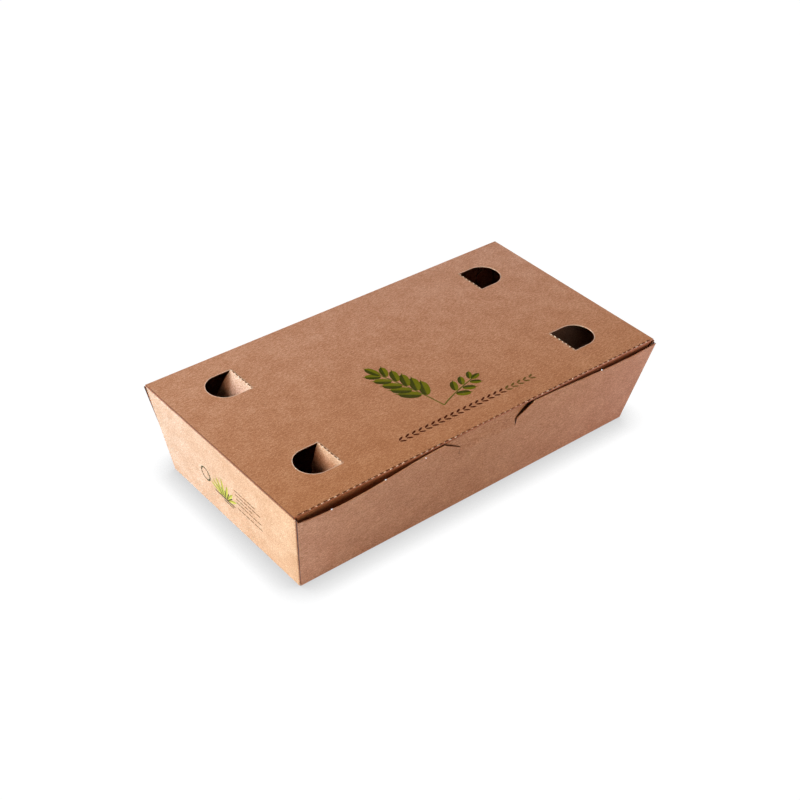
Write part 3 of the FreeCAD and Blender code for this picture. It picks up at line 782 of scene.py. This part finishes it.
# The dark marks: two ground bars, a dark blade beside each pale one, and a plain ring of short bars
wallGround = {"bars": [((0, -0.8), (19.0, 1.1)), ((3.0, -2.8), (9.0, 0.9))],
              "blade": (7.0, 0.7), "bladeTurn": 9, "bladeMiddle": 3.6, "bladeOff": 0.02,
              "ring": (19.8, 25.4), "ringRadii": (3.9, 4.6), "ringBars": 14, "ringBar": (1.8, 1.15)}


def makeGround():
    g = wallGround
    tuftAxes = wallAxes(*wallTuft["at"])
    places = [flatPlace(middle, 0, size, 0, tuftAxes) for middle, size in g["bars"]]
    for angle in wallTuft["fan"][1:-1]:
        turn = math.radians(angle + g["bladeTurn"])
        middle = (wallTuft["apart"] * math.sin(turn) + g["bladeMiddle"] * math.sin(turn),
                  g["bladeMiddle"] * math.cos(turn))
        places.append(flatPlace(middle, math.radians(90 - angle - g["bladeTurn"]), g["blade"], g["bladeOff"],
                                tuftAxes))
    wide, tall = g["ringRadii"]
    for i in range(g["ringBars"]):
        turn = 2 * math.pi * i / g["ringBars"]
        places.append(flatPlace((wide * math.sin(turn), tall * math.cos(turn)),
                                math.atan2(-tall * math.sin(turn), wide * math.cos(turn)), g["ringBar"], 0,
                                wallAxes(*g["ring"])))
    dark = scatter(dashShape(), places)
    finishPiece(dark, "wallGround", wallDarkInk)
    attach(dark, "tray")


makeEars()
makeStalks()
makeGarland()
makeRules()
makeTuft()
makeGround()
print("print done")


# Stage: a white sweep and soft lamps
lamps = {
    "window": {"at": (-1.45, 0.0, 0.60), "size": 0.9, "watts": (16.3, 11.5, 10.5)},
    "back": {"at": (-0.90, 1.00, 0.70), "size": 0.8, "watts": (23.5, 26.1, 31.0)},
    "low": {"at": (-1.50, 0.10, 0.20), "size": 0.6, "watts": (6.8, 22.7, 33.6)},
    "nearRight": {"at": (0.50, -0.40, 0.15), "size": 0.3, "watts": (1.70, 1.68, 2.15)},
    "nearLeft": {"at": (-0.55, -0.60, 0.12), "size": 0.3, "watts": (0.92, 0.90, 0.65)},
}
floorLook = {"half": 4.0, "under": 0.2, "paper": "#f3f3f3", "seenLit": 0.02, "contactMm": 16.0,
             "contactFrom": 0.42, "contactShade": 0.60}
view = {"at": (-0.44253, -0.49834, 0.53183), "turn": (0.92537, -0.03852, -0.69135), "lens": 64.95,
        "sensor": 36}


def mirrorsSee(tree):
    # 1 for the rays of the camera, mirrors and glass, which see the white sweep, and 0 for light
    rays = addNode(tree, "ShaderNodeLightPath")
    first = addNode(tree, "ShaderNodeMath", {},
                    {0: rays.outputs["Is Camera Ray"], 1: rays.outputs["Is Glossy Ray"]}, operation="MAXIMUM")
    both = addNode(tree, "ShaderNodeMath", {},
                   {0: first.outputs[0], 1: rays.outputs["Is Transmission Ray"]}, operation="MAXIMUM")
    return both.outputs[0]


bpy.ops.mesh.primitive_plane_add(size=2 * floorLook["half"], location=(0, 0, -floorLook["under"] * mm))
floor = bpy.context.object
floor.name = "floor"
paper = bpy.data.materials.new("whiteSweep")
tree = newTree(paper)
seen = mirrorsSee(tree)
# painted contact shadow: ambient occlusion darkens the paper's glow where the box meets the paper
near = addNode(tree, "ShaderNodeAmbientOcclusion", {"Distance": floorLook["contactMm"] * mm}, samples=4)
contact = addNode(tree, "ShaderNodeMapRange",
                  {"From Min": floorLook["contactFrom"], "To Min": floorLook["contactShade"]},
                  {"Value": near.outputs["AO"]})
glow = addNode(tree, "ShaderNodeMath", {}, {0: seen, 1: contact.outputs[0]}, operation="MULTIPLY")
lit = addNode(tree, "ShaderNodeEmission", {"Color": (1, 1, 1, 1)}, {"Strength": glow.outputs[0]})
# the paper's true tone for the light it throws on the box, and a faint one where it is seen
faint = addNode(tree, "ShaderNodeMath", {1: floorLook["seenLit"]}, {0: contact.outputs[0]},
                operation="MULTIPLY")
tone = addNode(tree, "ShaderNodeMix", {6: linearColour(floorLook["paper"])}, {0: seen, 7: faint.outputs[0]},
               data_type="RGBA")
matt = addNode(tree, "ShaderNodeBsdfDiffuse", {}, {"Color": tone.outputs[2]})
both = addNode(tree, "ShaderNodeAddShader", {}, {0: matt.outputs[0], 1: lit.outputs[0]})
addNode(tree, "ShaderNodeOutputMaterial", {}, {"Surface": both.outputs[0]})
floor.data.materials.append(paper)

world = bpy.data.worlds.new("studio")
bpy.context.scene.world = world
tree = newTree(world)
sky = addNode(tree, "ShaderNodeBackground", {"Color": (1, 1, 1, 1)}, {"Strength": mirrorsSee(tree)})
addNode(tree, "ShaderNodeOutputWorld", {}, {"Surface": sky.outputs[0]})

middle = Vector((0, 0, 0.03))    # every lamp aims at the box's middle
for name, lamp in lamps.items():
    bpy.ops.object.light_add(type="AREA", location=lamp["at"])
    light = bpy.context.object
    light.name = name
    light.data.shape = "DISK"
    light.data.size = lamp["size"]
    light.data.energy = max(lamp["watts"])
    light.data.color = [w / max(lamp["watts"]) for w in lamp["watts"]]
    light.rotation_euler = (middle - Vector(lamp["at"])).to_track_quat("-Z", "Y").to_euler()

bpy.ops.object.camera_add(location=view["at"], rotation=view["turn"])
camera = bpy.context.object
camera.data.lens = view["lens"]
camera.data.sensor_width = view["sensor"]
bpy.context.scene.camera = camera
bpy.context.scene.view_settings.view_transform = "Standard"
print("stage done")
